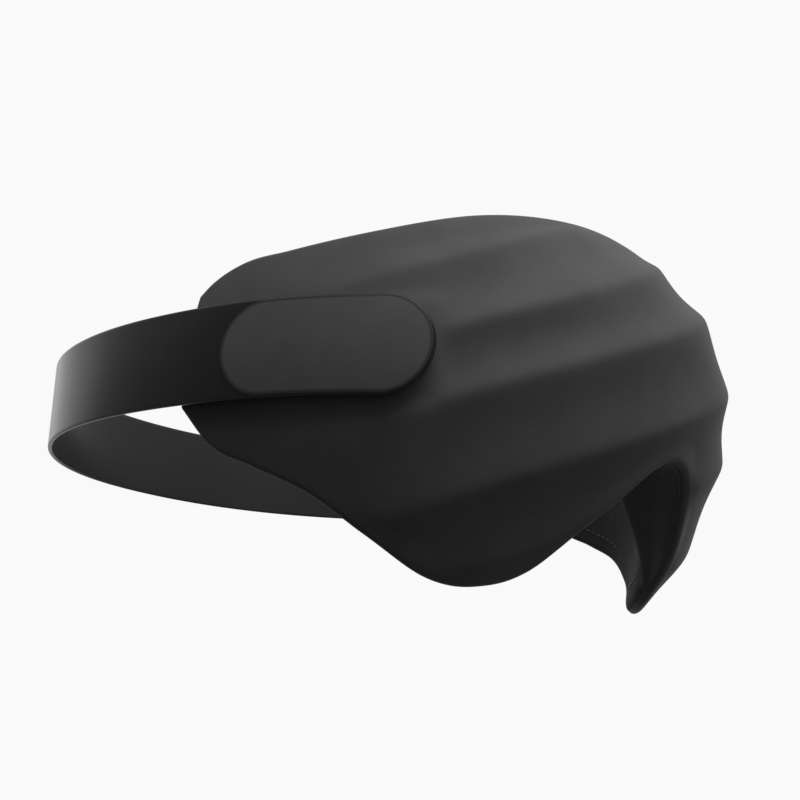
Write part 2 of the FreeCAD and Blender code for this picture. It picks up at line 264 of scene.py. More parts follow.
def face_depth(station, height):
    """Depth of the face side under the outer side."""
    low = bottom_edge(station)
    high = top_edge(station)
    share = np.clip((height - low) / (high - low), 0, 1)
    side = ease((WING_STATION - np.abs(station)) / WING_THINNING)
    middle = WING_THICKNESS + (FRONT_THICKNESS - WING_THICKNESS) * np.cos(np.radians(station)) ** 2
    middle = EDGE_THICKNESS + (middle - EDGE_THICKNESS) * side
    nose = ease((NOSE_WALL_END - np.abs(station)) / (NOSE_WALL_END - NOSE_WALL_FULL))
    bottom = EDGE_THICKNESS + (NOSE_WALL - EDGE_THICKNESS) * nose
    lower = bottom + (middle - bottom) * (1 - (1 - 2 * np.minimum(share, 0.5)) ** 3)
    upper = EDGE_THICKNESS + (middle - EDGE_THICKNESS) * (1 - (2 * np.maximum(share, 0.5) - 1) ** 3)
    across = (np.abs(form_point(station, height)[..., 0]) - EYE_SPACING / 2) / (EYE_CAVITY_WIDTH / 2)
    up = (height - EYE_LEVEL) / (EYE_CAVITY_HEIGHT / 2)
    cavity = EYE_CAVITY_DEPTH * ease((1 - across ** 2 - up ** 2) * EYE_CAVITY_STEEPNESS)
    return np.where(share < 0.5, lower, upper) - cavity


def mask_point(station, height, depth):
    """Point of the mask at a depth under its outer side."""
    below = ease((LEFT_SPLAY_LEVEL - height) / LEFT_SPLAY_SPAN)
    splay = LEFT_SPLAY * ease(station / LEFT_LIFT_SPAN) * below
    raised = wave(station, height) * np.maximum(0, 1 - depth / WAVE_ROOT) + splay
    normal = outward(form_point, station, height)
    return form_point(station, height) + normal * (raised - depth)[..., None]


print("thickness: %.1f mm between the eyes, %.1f mm at an eye"
      % (face_depth(0.0, EYE_LEVEL), face_depth(station_at(EYE_SPACING / 2), EYE_LEVEL)))

# %% [markdown]
# ## Helpers that turn grids of points into meshes
# A grid of points becomes a sheet of four-sided faces, with a UV map in metres so that a weave keeps its
# true size. A closed strip or pad is two such grids, joined at their rim by a band of faces. Marks can be
# kept on its points, such as the distance to the rim, for a material to read later.

# %% Grids of points and faces
def bunched(first, last, count):
    """Places between two ends that lie closer together near both ends."""
    turn = np.linspace(0, math.pi, count)
    return first + (last - first) * (1 - np.cos(turn)) / 2


def grid_faces(columns, rows, start=0, flip=False):
    """Four-sided faces between the points of a grid, numbered column by column from a start."""
    faces = []
    for i in range(columns - 1):
        for j in range(rows - 1):
            a = start + i * rows + j
            quad = (a, a + rows, a + rows + 1, a + 1)
            faces.append(quad[::-1] if flip else quad)
    return faces


def border(grid):
    """The places round the edge of a grid, in order."""
    return np.concatenate([grid[:-1, 0], grid[-1, :-1], grid[:0:-1, -1], grid[0, :0:-1]])


print("a grid of 4 by 3 points has %d faces" % len(grid_faces(4, 3)))

# %% Meshes from grids
SMOOTH_ANGLE = math.radians(50)
MERGE_DISTANCE = 0.01


def new_piece(name, points, faces, flat, marks=()):
    """Mesh object from points in millimetres, with its UV map taken from flat places in millimetres."""
    mesh = bpy.data.meshes.new(name)
    mesh.from_pydata((np.asarray(points) * MM).tolist(), [], faces)
    layer = mesh.uv_layers.new(name="cloth")
    corners = np.zeros(len(mesh.loops), dtype=np.int32)
    mesh.loops.foreach_get("vertex_index", corners)
    layer.data.foreach_set("uv", (np.asarray(flat)[corners] * MM).ravel())
    for label, values in marks:
        mesh.attributes.new(label, "FLOAT", "POINT").data.foreach_set("value", values)
    mesh.validate()
    mesh.polygons.foreach_set("use_smooth", [True] * len(mesh.polygons))
    piece = bpy.data.objects.new(name, mesh)
    bpy.context.scene.collection.objects.link(piece)
    work = bmesh.new()
    work.from_mesh(mesh)
    bmesh.ops.remove_doubles(work, verts=work.verts, dist=MERGE_DISTANCE * MM)
    for edge in work.edges:
        if len(edge.link_faces) == 2 and edge.calc_face_angle(0) > SMOOTH_ANGLE:
            edge.smooth = False
    work.to_mesh(mesh)
    work.free()
    return piece


def closed_pair(name, outer, inner, flat, rim=None):
    """Closed piece between an outer and an inner grid of points, bridged round their rims."""
    columns, rows = outer.shape[:2]
    count = columns * rows
    points = np.concatenate([outer.reshape(-1, 3), inner.reshape(-1, 3)])
    faces = grid_faces(columns, rows) + grid_faces(columns, rows, count, flip=True)
    edge = border(np.arange(count).reshape(columns, rows)).tolist()
    for a, b in zip(edge, edge[1:] + edge[:1]):
        faces.append((b, a, a + count, b + count))
    flat = np.concatenate([flat.reshape(-1, 2)] * 2)
    marks = [("inner_face", np.repeat([0.0, 1.0], count))]
    if rim is not None:
        marks.append(("rim", np.concatenate([rim.ravel()] * 2)))
    return new_piece(name, points, faces, flat, marks)


def rim_drop(distance, radius):
    """How far a rounded edge has sunk at a distance from the rim."""
    inside = np.clip(radius - distance, 0, radius)
    return radius - np.sqrt(np.maximum(radius ** 2 - inside ** 2, 0))


print("an edge rounded by 2 mm sinks %.2f mm at 1 mm from the rim" % rim_drop(1.0, 2.0))

# %% [markdown]
# ## Materials
# All cloth here is nearly black, so its look comes from its finish: a matte knit with a little sheen on
# the mask, a satin weave on the strap and a soft-touch patch on its end. Each finish is one function
# that builds its nodes. The weave is a pattern in the piece's own UV map, at its true size, so it bends
# with the cloth. Two tones follow marks on the mesh: the strap's inner face is brushed and looks paler,
# and the patch has a dark line painted along its rim: painted shade for the shadow where it meets the
# strap and for the strap's black edge.

# %% Material helpers
THREAD_REPEAT = 0.314


def add_node(tree, kind, values=(), **settings):
    """Add a node with its settings and the values of its inputs."""
    node = tree.nodes.new(kind)
    for name, value in settings.items():
        setattr(node, name, value)
    for entry, value in dict(values).items():
        node.inputs[entry].default_value = value
    return node


def link_all(tree, *ways):
    """Link nodes, each way being a node, its output, the next node and that one's input."""
    for node, output, follower, entry in ways:
        tree.links.new(node.outputs[output], follower.inputs[entry])


def new_material(name, colour, roughness, specular=0.5, sheen=0.0, sheen_roughness=0.5):
    """Material with its node tree and its shader."""
    material = bpy.data.materials.new(name)
    material.use_nodes = True
    shader = material.node_tree.nodes["Principled BSDF"]
    for entry, value in (("Base Color", (*colour, 1)), ("Roughness", roughness),
                         ("Specular IOR Level", specular), ("Sheen Weight", sheen),
                         ("Sheen Roughness", sheen_roughness)):
        shader.inputs[entry].default_value = value
    return material, material.node_tree, shader


def cloth_place(tree):
    """The node and output that tell a place in the piece's own UV map."""
    return add_node(tree, "ShaderNodeUVMap", uv_map="cloth"), "UV"


def mottled(tree, shader, place, dark, light, scale):
    """Colour that wanders a little between a darker and a lighter tone."""
    noise = add_node(tree, "ShaderNodeTexNoise", {"Scale": scale, "Detail": 5})
    ramp = add_node(tree, "ShaderNodeValToRGB")
    for i, (position, tone) in enumerate(((0.35, dark), (0.65, light))):
        ramp.color_ramp.elements[i].position = position
        ramp.color_ramp.elements[i].color = (*tone, 1)
    link_all(tree, (*place, noise, "Vector"), (noise, "Fac", ramp, "Fac"),
             (ramp, "Color", shader, "Base Color"))


def relief(tree, shader, source, output, depth, strength):
    """Bump from a node's pattern, its depth given in millimetres."""
    bump = add_node(tree, "ShaderNodeBump", {"Strength": strength, "Distance": depth * MM})
    link_all(tree, (source, output, bump, "Height"), (bump, "Normal", shader, "Normal"))


def threads(tree, shader, place, pitch, depth, strength):
    """Relief of crossing threads, pitch millimetres apart along and across.

    At scale 1 the bands of a Wave texture repeat every 0.314 units.
    """
    product = add_node(tree, "ShaderNodeMath", operation="MULTIPLY")
    for i, way in enumerate("XY"):
        values = {"Scale": THREAD_REPEAT / (pitch[i] * MM), "Distortion": 0.6, "Detail": 1}
        bands = add_node(tree, "ShaderNodeTexWave", values, bands_direction=way)
        link_all(tree, (*place, bands, "Vector"), (bands, "Fac", product, i))
    relief(tree, shader, product, 0, depth, strength)


def marked_colour(tree, shader, mark, start, stop, tone):
    """Go from a plain tone to the shader's own colour as a mark kept on the mesh goes from start to stop."""
    kept = add_node(tree, "ShaderNodeAttribute", attribute_name=mark)
    share = add_node(tree, "ShaderNodeMapRange", {"From Min": start, "From Max": stop})
    mix = add_node(tree, "ShaderNodeMix", data_type="RGBA")
    mix.inputs["A"].default_value = (*tone, 1)
    own = shader.inputs["Base Color"].links[0].from_node
    link_all(tree, (kept, "Fac", share, "Value"), (share, "Result", mix, "Factor"), (own, "Color", mix, "B"),
             (mix, "Result", shader, "Base Color"))


print("threads 0.5 mm apart need a wave scale of %.0f" % (THREAD_REPEAT / (0.5 * MM)))

# %% Cloth and elastic
def knit_cover():
    """Smooth matte knit on the outer side."""
    material, tree, shader = new_material("cover_knit", (0.06, 0.06, 0.061), 0.62, 0.04, 0.02)
    place = cloth_place(tree)
    mottled(tree, shader, place, (0.056, 0.056, 0.057), (0.064, 0.064, 0.065), 60)
    threads(tree, shader, place, (0.55, 0.45), 0.05, 0.25)
    return material


def brushed_knit(name, dark, light):
    """Soft brushed knit that touches the skin."""
    material, tree, shader = new_material(name, dark, 0.85, 0.08, 0.03, 0.6)
    place = cloth_place(tree)
    mottled(tree, shader, place, dark, light, 180)
    threads(tree, shader, place, (0.8, 0.8), 0.07, 0.3)
    return material


def satin_elastic():
    """Satin weave outside, brushed and paler on the inner face."""
    material, tree, shader = new_material("strap_elastic", (0.0055, 0.0055, 0.0056), 0.26, 0.085)
    place = cloth_place(tree)
    mottled(tree, shader, place, (0.0045, 0.0045, 0.0046), (0.006, 0.006, 0.0061), 90)
    marked_colour(tree, shader, "inner_face", 1.0, 0.0, (0.03, 0.03, 0.03))
    threads(tree, shader, place, (0.9, 0.7), 0.03, 0.2)
    return material


COVER = knit_cover()
# The lining and the baffle are one brushed knit in two tones. The lining's dark tone is partly its own colour
# and partly painted shade, for where the lamps reach inside the far lobe. The baffle's much lighter tone is
# painted light for the shaded hollow over the nose.
LINING = brushed_knit("face_lining", (0.029, 0.029, 0.03), (0.036, 0.036, 0.037))
BAFFLE_LIGHTENED_KNIT = brushed_knit("baffle_knit_lightened", (0.074, 0.074, 0.075), (0.086, 0.086, 0.087))
ELASTIC = satin_elastic()
print("cloth finishes:", [finish.name for finish in (COVER, LINING, BAFFLE_LIGHTENED_KNIT, ELASTIC)])

# %% Patch, foam and tapes
# Width of the painted shade line along the patch's rim, where it meets the strap.
RIM_SHADE_WIDTH = 0.5


def soft_touch_label():
    """Rubbery patch with a fine grain and a painted dark line along its rim, painted shade where it meets the
    strap.
    """
    material, tree, shader = new_material("label_soft_touch", (0.042, 0.042, 0.043), 0.5, 0.15)
    place = cloth_place(tree)
    mottled(tree, shader, place, (0.04, 0.04, 0.0405), (0.045, 0.045, 0.0455), 140)
    # Painted shade: the patch darkens near its rim, standing for the shadow at its join and the strap's black
    # edge.
    marked_colour(tree, shader, "rim", RIM_SHADE_WIDTH, RIM_SHADE_WIDTH * 2, (0.008, 0.008, 0.008))
    grain = add_node(tree, "ShaderNodeTexNoise", {"Scale": 4200})
    link_all(tree, (*place, grain, "Vector"))
    relief(tree, shader, grain, "Fac", 0.02, 0.12)
    return material


def napped(name, colour, roughness, sheen, scale):
    """Fuzzy or cut material that reads its place on the object."""
    material, tree, shader = new_material(name, colour, roughness, 0.2, sheen)
    place = add_node(tree, "ShaderNodeTexCoord"), "Object"
    dark, light = [tuple(tone * share for tone in colour) for share in (0.8, 1.25)]
    mottled(tree, shader, place, dark, light, scale)
    return material


LABEL = soft_touch_label()
FOAM = napped("memory_foam", (0.06, 0.06, 0.062), 0.9, 0.0, 900)
LOOPS = napped("loop_tape", (0.03, 0.03, 0.031), 0.9, 0.4, 1200)
HOOKS = napped("hook_tape", (0.026, 0.026, 0.028), 0.42, 0.0, 700)
THREAD = napped("thread", (0.055, 0.055, 0.056), 0.5, 0.1, 2500)
print("other finishes:", [finish.name for finish in (LABEL, FOAM, LOOPS, HOOKS, THREAD)])

# %% Finishing a piece
def finish_piece(piece, material, body):
    """Give a piece its material and the body that it moves with."""
    piece.data.materials.clear()
    piece.data.materials.append(material)
    if body:
        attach(piece, body)
    piece.data.update()
    print("%-24s %6d faces" % (piece.name, len(piece.data.polygons)))
    return piece


# %% [markdown]
# ## The outer cover
# The cover is one piece of knit, moulded over the foam and turned round its edge to the face side. So
# it is made as a fine sheet whose border sinks in a quarter circle, with a wall added below the border.
# The wall ends in a seam, where the lining starts.

# %% Rounded edges
EDGE_RADIUS = 1.7
NOSE_EDGE_RADIUS = 2.2
SEAM_RADIUS = 1.1
NOSE_SEAM_RADIUS = 7.0
NOSE_ROUNDING_SPAN = 15.0


def near_nose(station, height):
    """Share of the nose's extra rounding, which is full at the lower edge and gone a span above it."""
    nose = ease((NOSE_WALL_END - np.abs(station)) / (NOSE_WALL_END - NOSE_WALL_FULL))
    return nose * ease(1 - (height - bottom_edge(station)) / NOSE_ROUNDING_SPAN)


def edge_radius(station, height):
    """Rounding of the outer edge, which is softer over the nose than elsewhere."""
    return EDGE_RADIUS + (NOSE_EDGE_RADIUS - EDGE_RADIUS) * near_nose(station, height)


def seam_radius(station, height):
    """Rounding of the face side's edge, which rolls widely over the nose."""
    return SEAM_RADIUS + (NOSE_SEAM_RADIUS - SEAM_RADIUS) * near_nose(station, height)


def outer_side(station, height):
    """Depth of the rounded outer side."""
    return rim_drop(edge_distance(station, height), edge_radius(station, height))


def face_side(station, height):
    """Depth of the rounded face side."""
    rise = rim_drop(edge_distance(station, height), seam_radius(station, height))
    return face_depth(station, height) - rise


print("edge rounding: %.1f mm over the nose, %.1f mm at a temple"
      % (edge_radius(0.0, bottom_edge(0.0)), edge_radius(60.0, bottom_edge(60.0))))

# %% The outer cover
COVER_COLUMNS = 281
COVER_ROWS = 101
COVER_WALL = 0.8
WALL_STEPS = 7
LEAST_WALL = 0.1


def mask_grid(columns, rows):
    """Stations and heights that cover the mask, finer near its edge."""
    station = bunched(-WING_STATION, WING_STATION, columns)[:, None]
    share = bunched(0, 1, rows)[None, :]
    low = bottom_edge(station)
    height = low + (top_edge(station) - low) * share
    return station + 0 * height, height


def thicken(piece, wall):
    """Give a sheet the thickness of its cloth, toward the inside."""
    modifier = piece.modifiers.new("thicken", "SOLIDIFY")
    modifier.thickness = wall * MM
    modifier.offset = -1


def outer_cover():
    """Moulded front with a wall below its border, given the thickness of the knit."""
    station, height = mask_grid(COVER_COLUMNS, COVER_ROWS)
    top = mask_point(station, height, outer_side(station, height))
    points = [top.reshape(-1, 3)]
    flat = [np.stack([girth(station), height], axis=-1).reshape(-1, 2)]
    faces = grid_faces(COVER_COLUMNS, COVER_ROWS)
    index = border(np.arange(COVER_COLUMNS * COVER_ROWS).reshape(COVER_COLUMNS, COVER_ROWS))
    edge_station = border(station)
    edge_height = border(height)
    bottom = face_side(edge_station, edge_height)
    upper = edge_radius(edge_station, edge_height)
    start = COVER_COLUMNS * COVER_ROWS
    count = len(index)
    for step in range(1, WALL_STEPS + 1):
        wall_depth = upper + np.maximum(bottom - upper, LEAST_WALL) * step / WALL_STEPS
        points.append(mask_point(edge_station, edge_height, wall_depth))
        flat.append(np.stack([girth(edge_station), edge_height - wall_depth], axis=-1))
        below = start + np.arange(count)
        for k in range(count):
            follows = (k + 1) % count
            faces.append((index[follows], index[k], below[k], below[follows]))
        index = below
        start += count
    faces = [tuple(int(corner) for corner in face) for face in faces]
    piece = new_piece("outer_cover_knit", np.concatenate(points), faces, np.concatenate(flat))
    thicken(piece, COVER_WALL)
    return finish_piece(piece, COVER, "mask")


cover = outer_cover()
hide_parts("outer_cover")

# %% [markdown]
# ## The face lining and the foam
# The lining lies over the eye cavities, so it is a sheet at the depth of the face side, and its border
# rises to meet the cover's wall. The foam fills what is between the two. It doesn't show, and is made
# plainly, a little inside both.

# %% Face lining and foam core
LINING_COLUMNS = 181
LINING_ROWS = 81
LINING_WALL = 0.6
FOAM_COLUMNS = 91
FOAM_ROWS = 31
FOAM_INSET = 1.5
FOAM_LENGTH_SHARE = 0.98
FOAM_HEIGHT_SHARE = 0.94
LEAST_FOAM = 0.2


def face_lining():
    """Lining over the face side and its eye cavities, given the thickness of the cloth."""
    station, height = mask_grid(LINING_COLUMNS, LINING_ROWS)
    points = mask_point(station, height, face_side(station, height))
    flat = np.stack([girth(station), height], axis=-1)
    faces = grid_faces(LINING_COLUMNS, LINING_ROWS, flip=True)
    piece = new_piece("face_lining_cloth", points.reshape(-1, 3), faces, flat.reshape(-1, 2))
    thicken(piece, LINING_WALL)
    return finish_piece(piece, LINING, "mask")


def foam_core():
    """Block of foam a little inside the cover and the lining."""
    station, height = mask_grid(FOAM_COLUMNS, FOAM_ROWS)
    middle = (bottom_edge(station) + top_edge(station)) / 2
    station = station * FOAM_LENGTH_SHARE
    height = middle + (height - middle) * FOAM_HEIGHT_SHARE
    top = outer_side(station, height) + FOAM_INSET
    outer = mask_point(station, height, top)
    bottom = np.maximum(face_side(station, height) - FOAM_INSET, top + LEAST_FOAM)
    inner = mask_point(station, height, bottom)
    flat = np.stack([girth(station), height], axis=-1)
    piece = closed_pair("foam_core_block", outer, inner, flat)
    return finish_piece(piece, FOAM, "mask")


lining = face_lining()
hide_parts("face_lining")
foam = foam_core()
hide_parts("foam_core")

# %% [markdown]
# ## The nose baffle
# A thin soft pad lines the wall over the nose and reaches a little past it, to shut out light. Seen from
# below it is the dark rounded hollow between the cheek lobes. It is made as a pad along the wall, whose
# thickness thins to a hem at its border, so that it looks sewn down. Its knit is the lining's, given a
# much lighter tone: painted light, because the hollow lies in shade.

# %% Nose baffle
BAFFLE_STATION = 22.0
BAFFLE_START = 0.8
BAFFLE_TURN = 1.25
BAFFLE_THICKNESS = 2.0
BAFFLE_HEM = 0.2
BAFFLE_BASE = 0.12
BAFFLE_COLUMNS = 121
BAFFLE_ROWS = 41
SWELL_FRONT = 3
SWELL_REAR = 5
SWELL_SIDES = 3
SHARE_PROBE = 0.02


def nose_wall(station, share):
    """Point of the wall over the nose, from its front edge (share 0) round its rolled rear edge (1)."""
    low = bottom_edge(station)
    slope = steepness(bottom_edge, station)
    radius = seam_radius(station, low)
    start = BAFFLE_START * edge_radius(station, low)
    straight = face_depth(station, low) - radius - start
    travelled = share * (straight + radius * BAFFLE_TURN)
    turn = np.maximum(travelled - straight, 0) / radius
    inside = radius * (1 - np.cos(turn)) / np.hypot(1, slope)
    station = station_at(girth(station) - slope * inside)
    height = low + inside
    rolled = face_depth(station, height) - radius * (1 - np.sin(turn))
    return mask_point(station, height, np.where(turn > 0, rolled, start + travelled))


def nose_baffle():
    """Pad along the nose wall, thickest in its middle and thinning to a hem."""
    station, share = np.meshgrid(bunched(-BAFFLE_STATION, BAFFLE_STATION, BAFFLE_COLUMNS),
                                 bunched(0, 1, BAFFLE_ROWS), indexing="ij")
    run = nose_wall(station + PROBE, share) - nose_wall(station - PROBE, share)
    inward = nose_wall(station, share + SHARE_PROBE) - nose_wall(station, share - SHARE_PROBE)
    away = unit(np.cross(run, inward))
    plump = ease(SWELL_FRONT * share) * ease(SWELL_REAR * (1 - share))
    plump = plump * ease(SWELL_SIDES * (1 - np.abs(station) / BAFFLE_STATION))
    near = nose_wall(station, share) - away * BAFFLE_BASE
    far = near - away * (BAFFLE_HEM + (BAFFLE_THICKNESS - BAFFLE_HEM) * plump)[..., None]
    flat = np.stack([girth(station), share * NOSE_WALL], axis=-1)
    piece = closed_pair("nose_baffle_pad", near, far, flat)
    # The lightened knit is painted light for the shaded hollow.
    return finish_piece(piece, BAFFLE_LIGHTENED_KNIT, "mask")


baffle = nose_baffle()
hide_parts("nose_baffle")

# %% [markdown]
# ## The strap
# The strap is a flat woven elastic that hugs the mask's sides and stands upright behind the head. It is
# modelled directly, because a flat band wouldn't survive remeshing.

# %% Path of the strap
PEEL_STATION = 82.2
STRAP_UPRIGHTING = 45.0
PAD_THICKNESS = 0.8
LAYER_GAP = 0.1
CONTACT_GAP = 0.3
STRAP_THICKNESS = 1.3
LABEL_THICKNESS = 0.5
LOOP_PAD_TOP = LAYER_GAP + PAD_THICKNESS
HOOK_PAD_BASE = LOOP_PAD_TOP + CONTACT_GAP
HOOK_PAD_TOP = HOOK_PAD_BASE + PAD_THICKNESS
STRAP_INNER = HOOK_PAD_TOP + LAYER_GAP
STRAP_OUTER = STRAP_INNER + STRAP_THICKNESS
LABEL_BASE = STRAP_OUTER + LAYER_GAP / 2
LABEL_TOP = LABEL_BASE + LABEL_THICKNESS
STRAP_EDGE = 0.55
GIRTH_AT_PEEL = float(girth(PEEL_STATION))
GIRTH_AT_TAB = float(girth(TAB_STATION))


def strap_form(station, height):
    """The surface that the strap follows: the mask's side by the wings, upright behind the head."""
    round_from_nose = np.abs((np.asarray(station) + 180) % 360 - 180)
    beyond = ease((round_from_nose - PEEL_STATION) / STRAP_UPRIGHTING)[..., None]
    point = form_point(station, height)
    upright = form_point(station, 0.0)
    mixed = point + (upright - point) * beyond
    mixed[..., 2] = height
    return mixed


def strap_point(station, height, offset):
    """Point that stands off the strap's surface by an offset."""
    normal = outward(strap_form, station, height)
    return strap_form(station, height) + normal * np.asarray(offset)[..., None]


print("the strap lies %.1f to %.1f mm off the mask, and its end is %.0f mm long"
      % (STRAP_INNER, STRAP_OUTER, GIRTH_AT_PEEL - GIRTH_AT_TAB))


# %% Flat shapes laid on the strap's path
def strip_grid(front, rear, half_width, columns, rows, round_front=True, round_rear=False):
    """Distances, heights and rim distances of a strip, with half round ends where asked."""
    turn = np.linspace(-math.pi / 2, math.pi / 2, rows)[None, :]
    height = half_width * np.sin(turn)
    cap = half_width * (1 - np.cos(turn))
    start = front + (cap if round_front else 0 * cap)
    stop = rear - (cap if round_rear else 0 * cap)
    share = bunched(0, 1, columns)[:, None]
    distance = start + (stop - start) * share
    height = height + 0 * distance
    beyond = np.zeros_like(distance)
    if round_front:
        beyond = np.maximum(beyond, front + half_width - distance)
    if round_rear:
        beyond = np.maximum(beyond, distance - rear + half_width)
    return distance, height, np.maximum(half_width - np.hypot(beyond, height), 0)


def laid_strip(name, side, shape, base, top, radius):
    """Closed strip with rounded edges, on the wearer's right (side -1) or left (side +1)."""
    distance, height, rim = shape
    drop = rim_drop(rim, radius)
    if side < 0:
        distance, height, drop, rim = distance[::-1], height[::-1], drop[::-1], rim[::-1]
    station = station_at(side * distance)
    outer = strap_point(station, height, top - drop)
    inner = strap_point(station, height, base + drop)
    flat = np.stack([side * distance, height], axis=-1)
    return closed_pair(name, outer, inner, flat, rim)


print("a round ended strip has a rim distance of %.1f mm in its middle"
      % strip_grid(0.0, 60.0, STRAP_WIDTH / 2, 9, 9, True, True)[2].max())

# %% Strap band
BAND_COLUMNS = 241
STRAP_ROWS = 31
BEND_LENGTH = 9.0


def strap_band():
    """Elastic from one bend behind the peel line round the head to the other."""
    first = float(station_at(GIRTH_AT_PEEL + BEND_LENGTH))
    station = np.linspace(first, 360 - first, BAND_COLUMNS)[:, None]
    turn = np.linspace(-math.pi / 2, math.pi / 2, STRAP_ROWS)[None, :]
    height = STRAP_WIDTH / 2 * np.sin(turn) + 0 * station
    station = station + 0 * height
    drop = rim_drop(STRAP_WIDTH / 2 - np.abs(height), STRAP_EDGE)
    outer = strap_point(station, height, STRAP_OUTER - drop)
    inner = strap_point(station, height, STRAP_INNER + drop)
    behind = np.where(station > 180, 2 * GIRTH[-1] - girth(360 - station), girth(station))
    flat = np.stack([behind, height], axis=-1)
    return closed_pair("strap_band_elastic", outer, inner, flat)


band = finish_piece(strap_band(), ELASTIC, "mask")
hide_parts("strap_band")

# %% Strap ends and labels
SIDES = (("right", -1), ("left", 1))
END_COLUMNS = 91
BEND_START = 3
BEND_STOP = 2
LABEL_ROWS = 41
LABEL_EDGE = 0.22
LABEL_MARGIN = 0.6
LABEL_REAR_MARGIN = 6.5

for name, side in SIDES:
    shape = strip_grid(GIRTH_AT_TAB, GIRTH_AT_PEEL + BEND_LENGTH, STRAP_WIDTH / 2, END_COLUMNS, STRAP_ROWS)
    end = laid_strip("strap_end_elastic_" + name, side, shape, STRAP_INNER, STRAP_OUTER, STRAP_EDGE)
    finish_piece(end, ELASTIC, None)
    before = strap_point(station_at(side * (GIRTH_AT_PEEL + BEND_START)), np.array(0.0), STRAP_INNER)
    after = strap_point(station_at(side * (GIRTH_AT_PEEL - BEND_STOP)), np.array(0.0), STRAP_INNER)
    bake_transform(end)
    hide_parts("strap_end_" + name)

    shape = strip_grid(GIRTH_AT_TAB + LABEL_MARGIN, GIRTH_AT_PEEL - LABEL_REAR_MARGIN,
                       STRAP_WIDTH / 2 - LABEL_MARGIN, END_COLUMNS, LABEL_ROWS, True, True)
    label = laid_strip("label_pill_" + name, side, shape, LABEL_BASE, LABEL_TOP, LABEL_EDGE)
    finish_piece(label, LABEL, "tab_" + name)
    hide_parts("label_patch_" + name)

# %% [markdown]
# ## Hook and loop
# The hooks and loops show only when an end is peeled open. A field of tiny hooks is the same small shape
# repeated, which is what Geometry Nodes are for: a mesh of bare points carries the direction that each
# hook grows in, the tree puts one hook on each point, makes them real and gives them their material. The
# stitches that hold the tape down are a third such shape, set in a row.

# %% One hook, one loop, one stitch
def bent_rod(name, path, radius):
    """Thin rod with three sides along a short path that lies over the X axis, in millimetres."""
    path = np.array(path, float)
    points = []
    for i, place in enumerate(path):
        ahead = path[min(i + 1, len(path) - 1)] - path[max(i - 1, 0)]
        across = np.array([0.0, 1.0, 0.0])
        upward = np.cross(unit(ahead), across)
        for turn in (0, 2 * math.pi / 3, 4 * math.pi / 3):
            points.append(place + radius * (math.cos(turn) * across + math.sin(turn) * upward))
    faces = [(2, 1, 0)]
    for ring in range(len(path) - 1):
        for corner in range(3):
            a, b = ring * 3 + corner, ring * 3 + (corner + 1) % 3
            faces.append((a, b, b + 3, a + 3))
    last = 3 * len(path)
    faces.append((last - 3, last - 2, last - 1))
    mesh = bpy.data.meshes.new(name)
    mesh.from_pydata((np.array(points) * MM).tolist(), [], faces)
    return bpy.data.objects.new(name, mesh)


def hook_shape():
    """A hook: a stem that bends over at its tip, 0.3 mm high, growing along +Z."""
    return bent_rod("one_hook", [(0, 0, -0.1), (0, 0, 0.16), (0.07, 0, 0.26), (0.17, 0, 0.2)], 0.06)


def loop_shape():
    """A loop of yarn that stands up from the tape, 0.25 mm high."""
    return bent_rod("one_loop", [(-0.3, 0, -0.1), (-0.26, 0, 0.14), (0, 0, 0.25),
                                 (0.26, 0, 0.14), (0.3, 0, -0.1)], 0.05)


def stitch_shape():
    """A stitch of sewing thread, 2 mm long, that dives into the cloth at both ends."""
    return bent_rod("one_stitch", [(-1.05, 0, -0.2), (-0.85, 0, 0.08), (0, 0, 0.14),
                                   (0.85, 0, 0.08), (1.05, 0, -0.2)], 0.16)


HOOK, LOOP, STITCH = hook_shape(), loop_shape(), stitch_shape()
for shape in (HOOK, LOOP, STITCH):
    print("%s: %d faces" % (shape.name, len(shape.data.polygons)))


